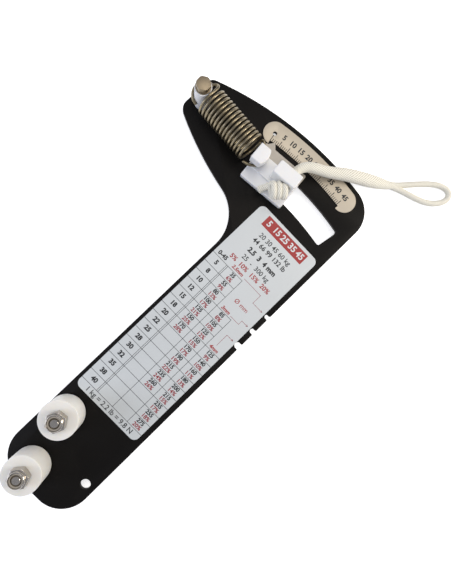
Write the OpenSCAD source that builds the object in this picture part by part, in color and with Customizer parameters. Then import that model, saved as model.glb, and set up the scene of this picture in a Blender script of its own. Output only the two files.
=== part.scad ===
// Rigging tension gauge: a flat hook-shaped plate that carries two cable rollers, an arc slot
// with a sprung slider and pointer, a scale, a chart label and a looped lanyard.
// Origin: hang hole axis on the plate's back face. +Y runs up the handle, +Z out of the front.

/* [Plate] */
// Thickness of the plate
plate_t = 3.2; // [2.6:0.1:4]
// Width of the handle
handle_w = 59.6; // [52:0.2:68]
// Hang hole axis to the handle's right edge
hole_to_edge = 6.7; // [5.5:0.1:10]
// Hang hole axis to the handle's bottom edge
hole_to_tail = 26.4; // [24:0.2:36]
// Diameter of the hang hole
hang_hole_d = 6.5; // [4:0.1:8]
// Radius of the three large corners
corner_r = 20; // [14:0.5:22]
// Fillet between handle and arm
neck_fillet_r = 28.5; // [15:0.5:35]
// Arc centre to the end of the arm
arm_reach = 97.8; // [92:0.2:104]
// Radius of the arm's lower edge
arm_under_r = 232; // [190:1:240]
// Plate left below the slot on the arc's centre line
web_below_slot = 26.2; // [22:0.1:32]
// Radius of the arm's lower end corner
arm_low_corner_r = 7.5; // [4:0.5:10]
// Radius of the arm's upper end corner
arm_top_corner_r = 6; // [4:0.5:8]
// Arc centre to the handle's right edge
arc_from_right = 42.5; // [40:0.1:45]
// Height of the arc centre above the hang hole
arc_up = 23.1; // [20:0.1:30]

/* [Cable notches] */
// Cable diameters that the edge notches gauge
notch_cables = [2.5, 3, 4];
// Clearance of a notch round its cable
notch_clear = 0.2; // [0.1:0.05:0.4]
// Straight lead-in of a notch
notch_lead = 1.8; // [1:0.1:2.5]
// Rounding of a notch's mouth
notch_mouth_r = 0.8; // [0.4:0.1:1.2]
// Spacing between notches
notch_pitch = 13.35; // [10:0.05:16]
// Lowest notch above the hang hole
notch_low_y = 129.2; // [115:0.2:140]

/* [Arc slot and scale] */
// Middle radius of the slot
slot_r = 200.8; // [190:0.2:210]
// Width of the slot
slot_w = 15.9; // [12:0.1:16]
// Corner radius of the slot's ends
slot_corner_r = 1.8; // [1:0.1:3]
// Slider's angle at rest, clockwise from straight up
rest_deg = -6.6; // [-8:0.1:-5]
// Slider's travel
travel_deg = 15; // [10:0.1:15]
// Scale units at the end of the scale
scale_max = 45; // [20:5:60]
// Angle from the scale's zero to its end
scale_span_deg = 16; // [14:0.1:17]
// Scale plate's run past the end mark
scale_overrun_deg = 0.36; // [0.2:0.02:0.5]
// Scale reading at rest
rest_reading = 2.8; // [1.8:0.1:4]
// Tick edge to the scale plate's outer edge
scale_band = 13.65; // [11:0.05:15]
// How far the round ends hang below the tick edge
scale_drop = 2.4; // [1.5:0.1:3]
// Thickness of the scale plate
scale_t = 0.6; // [0.4:0.05:0.8]
// Diameter of the hole at the zero mark
scale_hole_d = 2.8; // [1.5:0.1:3]
// Scale plate's outer edge to the plate's outer edge
rim = 3.3; // [2:0.1:6]

/* [Chart label] */
// Width of the label
label_w = 53.2; // [44:0.2:54]
// Height of the label
label_h = 166.6; // [140:0.2:168]
// Label's left edge to the handle's left edge
label_inset = 2.5; // [1.5:0.1:2.8]
// Label's bottom edge above the hang hole
label_up = 39.4; // [38:0.2:42]
// Corner radius of the label
label_corner_r = 4; // [2:0.5:6]
// Thickness of the label
label_t = 0.25; // [0.15:0.05:0.3]

/* [Rollers] */
// Diameter of a roller
roller_d = 23.7; // [20:0.1:24.4]
// Height of a roller
roller_h = 19; // [14:0.1:22]
// Rounding of a roller's ends
roller_edge_r = 1.5; // [0.5:0.1:2.5]
// Upper roller axis to the handle's left edge
upper_roller_inset = 12.3; // [11:0.1:14]
// Lower roller axis to the handle's left edge
lower_roller_inset = 20.6; // [18:0.1:24]
// Lower roller axis below the upper one
lower_roller_drop = 36.7; // [34:0.1:37]
// Diameter of the roller bolts
bolt_d = 6.35; // [5:0.05:7]
// Hex size of the roller bolts and nuts across flats
bolt_af = 11.1; // [10:0.1:12]
// Height of the bolt heads, nuts and slider plate behind the plate
back_stand = 4; // [3.6:0.1:5]
// Wall of a roller's bush
bush_wall = 1.5; // [1:0.1:2]
// Thickness of the washer under a roller
base_washer_t = 1; // [0.8:0.1:1.6]
// Diameter of the washer under a roller
base_washer_d = 16; // [14:0.2:20]
// Total height of a lock nut
nut_h = 7.9; // [7:0.1:9]
// Height of a lock nut's hexagon
nut_hex_h = 5.4; // [4.5:0.1:5.6]
// Diameter of a lock nut's collar
nut_collar_d = 10; // [9.6:0.1:10.2]
// Wall of a lock nut's collar
nut_collar_wall = 0.7; // [0.5:0.05:0.8]
// Bevel round the top of a lock nut's collar
nut_bevel = 0.5; // [0.3:0.05:0.6]
// Bolt's end and the insert below the top of the lock nut
bolt_recess = 0.5; // [0.2:0.1:1]
// Turn of the upper lock nut's hexagon
upper_nut_turn = 6.5; // [-30:0.5:30]
// Turn of the lower lock nut's hexagon
lower_nut_turn = -9.5; // [-30:0.5:30]
// Running clearance of a roller on its bush
roller_play = 0.06; // [0.03:0.01:0.09]
// End clearance of a roller
roller_end_play = 0.25; // [0.2:0.05:0.5]
// Clearance of a bolt in its holes
bolt_clear = 0.06; // [0.03:0.01:0.15]

/* [Spring post] */
// Post axis to the end of the arm
post_inset = 7.8; // [7.4:0.1:10]
// Post axis above the slot's middle radius
post_rise = -0.7; // [-1:0.1:2]
// Diameter of the white sleeve on the plate
sleeve_d = 11.2; // [10:0.1:12]
// Diameter of the white sleeve at its top
sleeve_top_d = 12.8; // [12:0.1:13.2]
// Height of the white sleeve
sleeve_h = 21; // [18:0.2:23]
// Diameter of the post's bolt
post_bolt_d = 5; // [4:0.1:6]
// Hex size of the post's bolt across flats
post_af = 8.3; // [7.5:0.1:9]
// Height of the post's bolt head
post_head_h = 4; // [3:0.1:4.5]
// Turn of the post's hex head
post_head_turn = -11; // [-30:0.5:30]
// Diameter of the washer under the post's head
post_washer_d = 11.4; // [10:0.1:12]
// Thickness of the washer under the post's head
post_washer_t = 1; // [0.8:0.1:1.5]

/* [Slider] */
// Length of the slider's flange along the slot
flange_l = 34; // [32:0.2:36]
// Flange overlap inside the slot
flange_lap_in = 5.3; // [4:0.1:5.8]
// Flange overlap outside the slot
flange_lap_out = 6.2; // [6:0.1:9]
// Thickness of the flange
flange_t = 4; // [3:0.1:5]
// Corner radius of the flange
flange_corner_r = 1.2; // [0.5:0.1:2]
// Length of the pointer
pointer_l = 3.8; // [2:0.1:5]
// Width of the pointer's base
pointer_w = 6.8; // [4:0.1:7]
// Thickness of the pointer
pointer_t = 2; // [1:0.1:2.4]
// Pointer's middle to the right of the neck
pointer_off = 1.7; // [1:0.1:2.5]
// Width of the pointer's blunt tip
pointer_tip_w = 0.6; // [0.4:0.1:1]
// Pointer's underside above the flange's
pointer_lift = 1; // [0.6:0.1:1.6]
// Pointer tip to the tick edge
tick_gap = 1.1; // [0.5:0.1:2]
// Width of the rail across the slot
rail_w = 11.6; // [10:0.1:13]
// Rail's middle outside the slot's middle radius
rail_off = 0.7; // [0:0.1:2]
// Height of the rail above the flange
rail_h = 2.3; // [1.5:0.1:3]
// Diameter of the hook post's neck
neck_d = 6.4; // [5.6:0.1:6.6]
// Height of the hook post's neck
neck_h = 5.3; // [5:0.1:6.5]
// Height of the hook post's head
boss_h = 8.2; // [6:0.1:9]
// Width of the hook post's head along the slot
boss_l = 9.2; // [8.6:0.1:9.6]
// Hook post's head past the flange's left end
boss_overhang = 0.6; // [0:0.1:1]
// Bulge radius of the hook post's head
boss_bulge_r = 10; // [9:0.1:12]
// Neck axis to the flange's left end
neck_in = 2.7; // [2.4:0.1:3.2]
// Width of the cable channel
channel_w = 7; // [6:0.1:8]
// Flange's right end to the cord block's right side
block_in = 1.1; // [0.5:0.1:3]
// Cord block's front face behind the rail's front edge
block_setback = 2.1; // [0.5:0.1:3]
// Diameter of the cord hole
cord_hole_d = 7; // [6.8:0.1:7.6]
// Cord hole axis to the cord block's right side
cord_hole_in = 5.7; // [5:0.1:7]
// Cord hole axis above the rail
cord_hole_up = 6.5; // [5.5:0.1:7.5]
// Tongue behind the slider's middle
tongue_tail_deg = 4.4; // [3.6:0.05:4.6]
// Tongue ahead of the slider's middle
tongue_lead_deg = 0.75; // [0.3:0.05:0.9]
// Play at the slot's ends
end_play_deg = 0.05; // [0.03:0.01:0.1]
// Side clearance of the tongue in the slot
tongue_clear = 0.3; // [0.2:0.05:0.5]
// Clearance between the slider and the plate's faces
slide_gap = 0.2; // [0.1:0.05:0.3]
// Length of the back plate along the slot
back_plate_l = 30; // [26:0.2:33]
// Width of the back plate across the slot
back_plate_w = 24; // [20:0.2:25]
// Diameter of the slider screws
screw_d = 3; // [2.5:0.1:3.5]
// Thread length of the slider screws in the slider
screw_grip = 3; // [2:0.1:3.6]
// Slider screws along the slot from the slider's middle
screw_us = [-12, -2];
// Depth of the screw heads below the back plate's face
screw_recess = 0.3; // [0.2:0.05:0.6]
// Clearance of the slider screws
screw_clear = 0.05; // [0.03:0.01:0.1]

/* [Spring] */
// Outside diameter of the coil
spring_od = 20.8; // [19:0.1:22]
// Diameter of the spring wire
wire_d = 1.7; // [1.4:0.05:1.9]
// Turns that cross the top of the coil
coil_count = 15; // [12:1:17]
// Gap between the coil and the plate
spring_lift = 1.6; // [0.8:0.1:2]
// Sideways lean of the coil at each end
spring_skew = 0.7; // [0:0.1:1]
// Gap between the end loop and the post's sleeve
loop_clear = 0.3; // [0.2:0.05:0.6]
// Gap between the first turn and the post's sleeve
coil_clear = 0.1; // [0.05:0.05:0.6]
// Play of the hook round the neck
hook_play = 1.8; // [1.7:0.05:2.2]
// How far the hook's round end sits towards the coil
hook_pull = 1.2; // [0.9:0.05:1.3]
// Height of the hook's front above the rail
hook_front_up = 1.7; // [1.3:0.1:2]
// Rise of the hook from its front to its back
hook_rise = 2.2; // [1:0.1:2.4]
// Coil's end to the hook's centre
hook_reach = 4.8; // [4:0.1:6]
// Gap where the hook meets the coil
hook_joint_gap = 0.2; // [0.1:0.05:0.4]

/* [Hidden] */
$fn = 72;
arc_fn = 360;
overlap = 1;

// Plate edges and centres
right_x = hole_to_edge;
left_x = right_x - handle_w;
tail_y = -hole_to_tail;
arc_c = [right_x - arc_from_right, arc_up];
arm_x = arc_c.x - arm_reach;

// Radii that follow from the slot
slot_in_r = slot_r - slot_w / 2;
slot_out_r = slot_r + slot_w / 2;
flange_in_r = slot_in_r - flange_lap_in;
flange_out_r = slot_out_r + flange_lap_out;
pointer_r = flange_out_r + pointer_l;
tick_r = pointer_r + tick_gap;
scale_out_r = tick_r + scale_band;
scale_in_r = tick_r - scale_drop;
scale_mid_r = (scale_in_r + scale_out_r) / 2;
scale_half = (scale_out_r - scale_in_r) / 2;
outer_r = scale_out_r + rim;
under_c = [arc_c.x, arc_c.y + slot_in_r - web_below_slot + arm_under_r];

// Angles along the arc, clockwise from straight up
slot_start_deg = rest_deg - tongue_tail_deg - end_play_deg;
slot_end_deg = rest_deg + travel_deg + tongue_lead_deg + end_play_deg;
unit_deg = scale_span_deg / scale_max;
pointer_u = neck_in - flange_l / 2 + pointer_off;
pointer_deg = rest_deg + atan(pointer_u / pointer_r);
zero_deg = pointer_deg - rest_reading * unit_deg;
scale_end_deg = zero_deg + scale_span_deg + scale_overrun_deg;

// Heights
top_z = plate_t;
flange_z = top_z + slide_gap;
rail_z = flange_z + flange_t;
neck_z = rail_z + rail_h;
boss_z = neck_z + neck_h;
slider_top_z = boss_z + boss_h;
bush_z = top_z + base_washer_t;
bush_h = roller_h + 2 * roller_end_play;
nut_z = bush_z + bush_h;
coil_z = top_z + spring_lift + spring_od / 2;

// Places of the rollers, the post and the slider's features
upper_at = [left_x + upper_roller_inset, arc_c.y];
lower_at = [left_x + lower_roller_inset, arc_c.y - lower_roller_drop];
post_at = [arm_x + post_inset, arc_c.y + slot_r + post_rise];
rail_r = slot_r + rail_off;
neck_u = neck_in - flange_l / 2;
boss_left_u = -flange_l / 2 - boss_overhang;
block_left_u = boss_left_u + boss_l + channel_w;
block_right_u = flange_l / 2 - block_in;
cord_hole_u = block_right_u - cord_hole_in;
cord_hole_z = neck_z + cord_hole_up;

// Bush, bores and hex sizes
bush_in_r = bolt_d / 2 + bolt_clear;
bush_out_r = bush_in_r + bush_wall;
roller_bore_r = bush_out_r + roller_play;
post_bore_r = post_bolt_d / 2 + bolt_clear;
hex_chamfer = 0.6;

// Spring: neck, hook and coil line
neck_r = norm([neck_u, rail_r]);
hook_sag = neck_r * (1 - cos(travel_deg / 2)) / 2;
neck_at = slider_point(neck_u, rail_r);
hook_c = neck_at + [-hook_pull, hook_sag];
hook_r = neck_d / 2 + hook_play + wire_d / 2;
coil_r = (spring_od - wire_d) / 2;
coil_from = post_at + [0, spring_skew];
coil_to = hook_c - [0, spring_skew];
coil_dir = (coil_to - coil_from) / norm(coil_to - coil_from);
coil_side = [-coil_dir.y, coil_dir.x];
coil_steps = 8 * coil_count - 2;
coil_first_deg = 67.5;
coil_start = sleeve_top_d / 2 + wire_d / 2 + coil_clear;
coil_end = norm(coil_to - coil_from) - hook_reach;
coil_pitch = (coil_end - coil_start) * 8 / (coil_steps - 0.5);
loop_r = sleeve_top_d / 2 + loop_clear + wire_d / 2;
loop_from_deg = 75;
loop_to_deg = 275;
loop_step_deg = 20;
loop_rise = 5;
loop_fall = 16.5;
loop_lead = [[-3.4, 3.9, -3.2], [-1.4, 4.3, -2], [-0.3, 2.4, -0.6]];
hook_run = 0.8;
hook_lead = [[0.9, 0.7, 1.9], [2.2, 0.3, 2.4]];
hook_from_deg = 80;
hook_to_deg = -50;
hook_step_deg = 21.5;
hook_tail = [[-1.5, -1.7, -0.1], [-3.2, -3, -0.2], [-5.3, -4, -0.2], [-8, -4.7, -0.2]];

// Lanyard: diameters, and a route of [x, y, z, radius] from the cord hole to the loop's end
cord_sides = 10;
knot_r = 5.8;
knot_lobe_r = 2.5;
knot_taper = 0.4;
knot_sink = 0.6;
cord_route = [[-49.8, 232.4, 16.2, 2.9], [-49.6, 234.8, 16.1, 3], [-48.6, 237.7, 15.9, 3],
    [-46.6, 240.6, 15.4, 3], [-42.6, 244, 14.6, 2.9], [-37.8, 247.5, 13, 2.8], [-33.2, 251.6, 11.3, 3.2],
    [-28.8, 256, 9.7, 3.8], [-24, 260.2, 8.4, 4.1], [-18.7, 264.6, 6.2, 4], [-12.6, 269.6, 3.6, 3.6],
    [-6.4, 274.8, 0.8, 3], [-1, 279.3, -0.9, 2.4], [3, 283.6, -1.6, 1.9], [7, 288.6, -1.9, 1.8],
    [12, 294.5, -1.9, 1.8], [17, 299.9, -1.9, 1.8], [22, 304.6, -1.9, 1.8], [27, 307.8, -1.9, 1.8],
    [31.6, 308.6, -1.9, 1.8], [35.4, 306.8, -1.9, 1.8], [37, 303, -1.9, 1.8], [35.8, 298.8, -1.9, 1.8],
    [32.4, 295.2, -1.9, 1.8], [27.6, 292.4, -1.9, 1.8], [22, 289.8, -1.9, 1.8], [16.4, 287.2, -1.9, 1.8],
    [10.8, 284.6, -1.9, 1.8], [6.6, 282, -1.7, 1.8]];
tail_route = [[-53.6, 212.9, 13.4, 2.2], [-55.2, 211.4, 12, 2.3], [-57, 209.8, 10.8, 2.4],
    [-58.8, 208.2, 10.1, 2.5]];

echo(str("spring least gap to itself ", least_gap(spring_path(), 6) - wire_d, " mm"));
echo(str("neck at rest ", neck_at, " neck at full travel ", slider_point(neck_u, rail_r, travel_deg)));
echo(str("scale zero ", zero_deg, " slot end ", slot_end_deg, " outer radius ", outer_r));

// Points and vectors
function polar(r, a) = [r * sin(a), r * cos(a)];
function slider_point(u, r, turn = 0) = let (a = rest_deg + turn)
    arc_c + r * [sin(a), cos(a)] + u * [cos(a), -sin(a)];
function unit(v) = v / norm(v);
function bearing(from, to) = atan2(to.y - from.y, to.x - from.x);
function lift(p, z) = [p.x, p.y, z];
function least_gap(p, apart) = min([for (i = [0 : len(p) - 1 - apart], j = [i + apart : len(p) - 1])
    norm(p[i] - p[j])]);

// Tube swept along a path, with the ring's side carried from point to point
function along(p, i) = unit(p[min(i + 1, len(p) - 1)] - p[max(i - 1, 0)]);
function square_to(n, t) = unit(n - (n * t) * t);
function sides_along(p) = [for (i = 0, n = square_to([0.1, 0.2, 1], along(p, 0)); i < len(p);
    i = i + 1, n = square_to(n, along(p, min(i, len(p) - 1)))) n];
function ring(c, t, n, r, sides) = [for (k = [0 : sides - 1]) let (a = 360 * k / sides)
    c + r * (cos(a) * n + sin(a) * cross(t, n))];

module tube(path, radii, sides) {
    last = len(path) - 1;
    side = sides_along(path);
    points = [for (i = [0 : last]) each ring(path[i], along(path, i), side[i], radii[i], sides)];
    wall = [for (i = [0 : last - 1], k = [0 : sides - 1])
        let (a = i * sides + k, b = i * sides + (k + 1) % sides)
        each [[a, b + sides, b], [a, a + sides, b + sides]]];
    near_end = [for (k = [1 : sides - 2]) [0, k, k + 1]];
    far_end = [for (k = [1 : sides - 2]) [last * sides, last * sides + k + 1, last * sides + k]];
    polyhedron(points = points, faces = concat(wall, near_end, far_end));
}

// Everything past a round corner between two headings from the corner's centre
module corner_cut(c, r, heading_a, heading_b) {
    reach = 3 * r;
    middle = (heading_a + heading_b) / 2;
    translate(c)
        difference() {
            polygon([[0, 0], reach * [cos(heading_a), sin(heading_a)], reach * [cos(middle), sin(middle)],
                reach * [cos(heading_b), sin(heading_b)]]);
            circle(r);
        }
}

// Sector of a ring about the arc centre, with round corners
module ring_sector(r_in, r_out, a_from, a_to, corner) {
    reach = 2 * r_out;
    out_turn = asin(corner / (r_out - corner));
    in_turn = asin(corner / (r_in + corner));
    difference() {
        circle(r_out, $fn = arc_fn);
        circle(r_in, $fn = arc_fn);
        polygon([[0, 0], reach * polar(1, a_to), reach * polar(1, 90), reach * polar(1, 180),
            reach * polar(1, 270), reach * polar(1, a_from)]);
        corner_cut(polar(r_out - corner, a_to - out_turn), corner, 90 - a_to + out_turn, -a_to);
        corner_cut(polar(r_out - corner, a_from + out_turn), corner, 90 - a_from - out_turn, 180 - a_from);
        corner_cut(polar(r_in + corner, a_to - in_turn), corner, -90 - a_to + in_turn, -a_to);
        corner_cut(polar(r_in + corner, a_from + in_turn), corner, 270 - a_from - in_turn, 180 - a_from);
    }
}

// The same with its corners cut off straight
module ring_block(r_in, r_out, a_from, a_to, cut) {
    reach = 2 * r_out;
    difference() {
        circle(r_out, $fn = arc_fn);
        circle(r_in, $fn = arc_fn);
        polygon([[0, 0], reach * polar(1, a_to), reach * polar(1, 90), reach * polar(1, 180),
            reach * polar(1, 270), reach * polar(1, a_from)]);
        for (end = [[r_in, a_from, 1, 1], [r_in, a_to, -1, 1], [r_out, a_from, 1, -1], [r_out, a_to, -1, -1]])
            translate(polar(end[0], end[1])) rotate(-end[1])
                polygon(cut * [[2 * end[2], -end[3]], [-end[2], 2 * end[3]], [-end[2], -end[3]]]);
    }
}

module round_rect(w, h, r) {
    translate([r, 0]) square([w - 2 * r, h]);
    translate([0, r]) square([w, h - 2 * r]);
    for (x = [r, w - r], y = [r, h - r]) translate([x, y]) circle(r);
}

module at_arc() {
    translate(lift(arc_c, 0)) children();
}

// Slider frame: x along the slot, y outwards from the arc centre
module at_slider() {
    at_arc() rotate([0, 0, -rest_deg]) children();
}

module upright(at, z) {
    translate(lift(at, z)) children();
}

// Hexagonal prism with both ends chamfered
module hex_body(af, h, chamfer) {
    corner = af / cos(30) / 2;
    intersection() {
        cylinder(r = corner, h = h, $fn = 6);
        rotate_extrude()
            polygon([[0, 0], [corner - chamfer, 0], [corner, chamfer * 0.6], [corner, h - chamfer * 0.6],
                [corner - chamfer, h], [0, h]]);
    }
}

module washer(d, bore_r, t) {
    difference() {
        cylinder(d = d, h = t);
        translate([0, 0, -overlap]) cylinder(r = bore_r, h = t + 2 * overlap);
    }
}

// Plate outline
module neck_fillet() {
    c = [left_x - neck_fillet_r,
        under_c.y - sqrt(pow(arm_under_r + neck_fillet_r, 2) - pow(left_x - neck_fillet_r - arc_c.x, 2))];
    touch = c + neck_fillet_r * unit(under_c - c);
    difference() {
        polygon([c, [left_x + overlap, c.y], [left_x + overlap, touch.y + overlap],
            touch + overlap * unit(under_c - c)]);
        translate(c) circle(neck_fillet_r);
    }
}

module head_outline() {
    intersection() {
        translate(arc_c) circle(outer_r, $fn = arc_fn);
        translate(under_c) circle(arm_under_r, $fn = arc_fn);
        translate([arm_x, arc_c.y]) square([right_x - arm_x, outer_r + overlap]);
    }
}

module head_corner() {
    x = right_x - corner_r;
    c = [x, arc_c.y + sqrt(pow(outer_r - corner_r, 2) - pow(x - arc_c.x, 2))];
    corner_cut(c, corner_r, 0, bearing(arc_c, c));
}

module arm_corners() {
    x_top = arm_x + arm_top_corner_r;
    top = [x_top, arc_c.y + sqrt(pow(outer_r - arm_top_corner_r, 2) - pow(x_top - arc_c.x, 2))];
    x_low = arm_x + arm_low_corner_r;
    low = [x_low, under_c.y - sqrt(pow(arm_under_r - arm_low_corner_r, 2) - pow(x_low - arc_c.x, 2))];
    corner_cut(top, arm_top_corner_r, bearing(arc_c, top), 180);
    corner_cut(low, arm_low_corner_r, 180, 360 + bearing(under_c, low));
}

module notches() {
    for (i = [0 : len(notch_cables) - 1]) {
        w = notch_cables[i] + notch_clear;
        y = notch_low_y + (len(notch_cables) - 1 - i) * notch_pitch;
        bottom_x = right_x - notch_lead;
        translate([bottom_x, y]) circle(w / 2);
        translate([bottom_x, y - w / 2]) square([right_x - bottom_x + overlap, w]);
        mouth_x = right_x - notch_mouth_r;
        corner_cut([mouth_x, y + w / 2 + notch_mouth_r], notch_mouth_r, 0, -90);
        corner_cut([mouth_x, y - w / 2 - notch_mouth_r], notch_mouth_r, 0, 90);
    }
}

module frame_plate() {
    color("#26221f")
        linear_extrude(plate_t)
            difference() {
                union() {
                    translate([left_x, tail_y]) square([handle_w, arc_c.y + slot_in_r - tail_y]);
                    head_outline();
                    neck_fillet();
                }
                corner_cut([left_x + corner_r, tail_y + corner_r], corner_r, 180, 270);
                corner_cut([right_x - corner_r, tail_y + corner_r], corner_r, 270, 360);
                head_corner();
                arm_corners();
                notches();
                translate(arc_c)
                    ring_sector(slot_in_r, slot_out_r, slot_start_deg, slot_end_deg, slot_corner_r);
                translate(arc_c + polar(scale_mid_r, zero_deg)) circle(d = scale_hole_d);
                circle(d = hang_hole_d);
                translate(upper_at) circle(bush_in_r);
                translate(lower_at) circle(bush_in_r);
                translate(post_at) circle(post_bore_r);
            }
}

module chart_label() {
    color("#e0e3e3")
        translate([left_x + label_inset, label_up, top_z])
            linear_extrude(label_t) round_rect(label_w, label_h, label_corner_r);
}

module scale_plate() {
    color("#c9c0b0")
        at_arc()
            translate([0, 0, top_z])
                linear_extrude(scale_t)
                    difference() {
                        union() {
                            difference() {
                                circle(scale_out_r, $fn = arc_fn);
                                circle(scale_in_r, $fn = arc_fn);
                                polygon([[0, 0], 2 * outer_r * polar(1, scale_end_deg),
                                    2 * outer_r * polar(1, 90), 2 * outer_r * polar(1, 180),
                                    2 * outer_r * polar(1, 270), 2 * outer_r * polar(1, zero_deg)]);
                            }
                            translate(polar(scale_mid_r, zero_deg)) circle(scale_half);
                            translate(polar(scale_mid_r, scale_end_deg)) circle(scale_half);
                        }
                        intersection() {
                            circle(tick_r, $fn = arc_fn);
                            polygon([[0, 0], 2 * outer_r * polar(1, zero_deg),
                                2 * outer_r * polar(1, scale_end_deg)]);
                        }
                        translate(polar(scale_mid_r, zero_deg)) circle(d = scale_hole_d);
                    }
}

// Spring post: bolt, washer, sleeve and nut
module spring_post() {
    color("#a4957d")
        upright(post_at, top_z + sleeve_h + post_washer_t) {
            rotate([0, 0, post_head_turn]) hex_body(post_af, post_head_h, hex_chamfer);
            shank = sleeve_h + post_washer_t + plate_t + back_stand;
            translate([0, 0, -shank]) cylinder(d = post_bolt_d, h = shank + overlap);
        }
}

module post_washer() {
    color("#b5ad9d")
        upright(post_at, top_z + sleeve_h) washer(post_washer_d, post_bore_r, post_washer_t);
}

module post_sleeve() {
    color("#eef0f4")
        upright(post_at, top_z)
            difference() {
                cylinder(d1 = sleeve_d, d2 = sleeve_top_d, h = sleeve_h);
                translate([0, 0, -overlap]) cylinder(r = post_bore_r, h = sleeve_h + 2 * overlap);
            }
}

module post_nut() {
    color("#9c968c")
        upright(post_at, -back_stand)
            difference() {
                hex_body(post_af, back_stand, hex_chamfer);
                translate([0, 0, -overlap]) cylinder(r = post_bore_r, h = back_stand + 2 * overlap);
            }
}

// Roller stack: bolt, base washer, bush, roller, lock nut and nut insert
module roller_bolt(at) {
    color("#9a938f")
        upright(at, -back_stand) {
            hex_body(bolt_af, back_stand, hex_chamfer);
            cylinder(d = bolt_d, h = back_stand + nut_z + nut_h - bolt_recess);
        }
}

module base_washer(at) {
    color("#b9b6b0")
        upright(at, top_z) washer(base_washer_d, bush_in_r, base_washer_t);
}

module roller_bush(at) {
    color("#c8b98a")
        upright(at, bush_z) washer(2 * bush_out_r, bush_in_r, bush_h);
}

module roller(at) {
    wall = roller_d / 2 - roller_bore_r;
    color("#efece6")
        upright(at, bush_z + roller_end_play)
            rotate_extrude()
                translate([roller_bore_r, 0]) {
                    translate([0, roller_edge_r]) square([wall, roller_h - 2 * roller_edge_r]);
                    square([wall - roller_edge_r, roller_h]);
                    for (z = [roller_edge_r, roller_h - roller_edge_r])
                        translate([wall - roller_edge_r, z]) circle(roller_edge_r);
                }
}

module lock_nut(at, turn) {
    collar_r = nut_collar_d / 2;
    color("#b8b8b4")
        upright(at, nut_z)
            difference() {
                union() {
                    rotate([0, 0, turn]) hex_body(bolt_af, nut_hex_h, hex_chamfer);
                    cylinder(r = collar_r, h = nut_h - nut_bevel);
                    translate([0, 0, nut_h - nut_bevel])
                        cylinder(r1 = collar_r, r2 = collar_r - nut_bevel, h = nut_bevel);
                }
                translate([0, 0, -overlap]) cylinder(r = bush_in_r, h = nut_h + 2 * overlap);
                translate([0, 0, nut_hex_h]) cylinder(r = collar_r - nut_collar_wall, h = nut_h);
            }
}

module nut_insert(at) {
    color("#6b6a5a")
        upright(at, nut_z + nut_hex_h)
            washer(nut_collar_d - 2 * nut_collar_wall - 2 * bolt_clear, bush_in_r,
                nut_h - nut_hex_h - bolt_recess);
}

module upper_roller_bolt() { roller_bolt(upper_at); }
module lower_roller_bolt() { roller_bolt(lower_at); }
module upper_base_washer() { base_washer(upper_at); }
module lower_base_washer() { base_washer(lower_at); }
module upper_roller_bush() { roller_bush(upper_at); }
module lower_roller_bush() { roller_bush(lower_at); }
module upper_roller() { roller(upper_at); }
module lower_roller() { roller(lower_at); }
module upper_lock_nut() { lock_nut(upper_at, upper_nut_turn); }
module lower_lock_nut() { lock_nut(lower_at, lower_nut_turn); }
module upper_nut_insert() { nut_insert(upper_at); }
module lower_nut_insert() { nut_insert(lower_at); }

// Slider
module screw_places() {
    for (u = screw_us) translate([u, slot_r, 0]) children();
}

module boss_outline() {
    intersection() {
        translate([boss_left_u, rail_r - rail_w / 2]) square([boss_l, rail_w]);
        translate([boss_left_u + boss_l - boss_bulge_r, rail_r]) circle(boss_bulge_r);
    }
}

module slider_solid() {
    translate([-flange_l / 2, flange_in_r, flange_z])
        linear_extrude(flange_t) round_rect(flange_l, flange_out_r - flange_in_r, flange_corner_r);
    translate([-flange_l / 2, rail_r - rail_w / 2, rail_z - overlap])
        cube([flange_l - block_in, rail_w, rail_h + overlap]);
    translate([0, 0, flange_z + pointer_lift])
        linear_extrude(pointer_t)
            polygon([[pointer_u - pointer_w / 2, flange_out_r - overlap],
                [pointer_u + pointer_w / 2, flange_out_r - overlap],
                [pointer_u + pointer_w / 2, flange_out_r], [pointer_u + pointer_tip_w / 2, pointer_r],
                [pointer_u - pointer_tip_w / 2, pointer_r], [pointer_u - pointer_w / 2, flange_out_r]]);
    translate([0, 0, -slide_gap])
        linear_extrude(flange_z + slide_gap + overlap)
            ring_block(slot_in_r + tongue_clear, slot_out_r - tongue_clear, -tongue_tail_deg,
                tongue_lead_deg, slot_corner_r);
    translate([neck_u, rail_r, neck_z - overlap]) cylinder(d = neck_d, h = neck_h + 2 * overlap);
    translate([0, 0, boss_z]) linear_extrude(boss_h) boss_outline();
    translate([block_left_u, rail_r - rail_w / 2 + block_setback, neck_z - overlap])
        linear_extrude(slider_top_z - neck_z + overlap)
            round_rect(block_right_u - block_left_u, rail_w - block_setback, flange_corner_r);
}

module slider_block() {
    color("#f2f2f0")
        at_slider()
            difference() {
                slider_solid();
                translate([cord_hole_u, rail_r - rail_w, cord_hole_z])
                    rotate([-90, 0, 0]) cylinder(d = cord_hole_d, h = 2 * rail_w);
                screw_places()
                    translate([0, 0, -overlap])
                        cylinder(d = screw_d + 2 * screw_clear,
                            h = flange_z + screw_grip + overlap + screw_recess);
            }
}

module slider_back_plate() {
    plate_h = back_stand - slide_gap;
    color("#e6e8ea")
        at_slider()
            difference() {
                translate([-back_plate_l / 2 - 1, slot_r - back_plate_w / 2, -back_stand])
                    linear_extrude(plate_h) round_rect(back_plate_l, back_plate_w, flange_corner_r);
                screw_places() {
                    translate([0, 0, -back_stand - overlap])
                        cylinder(d = screw_d + 2 * screw_clear, h = plate_h + 2 * overlap);
                    translate([0, 0, -back_stand - overlap])
                        cylinder(d = 2 * screw_d + 2 * screw_clear, h = overlap + screw_d / 2 + screw_clear);
                }
            }
}

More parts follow.
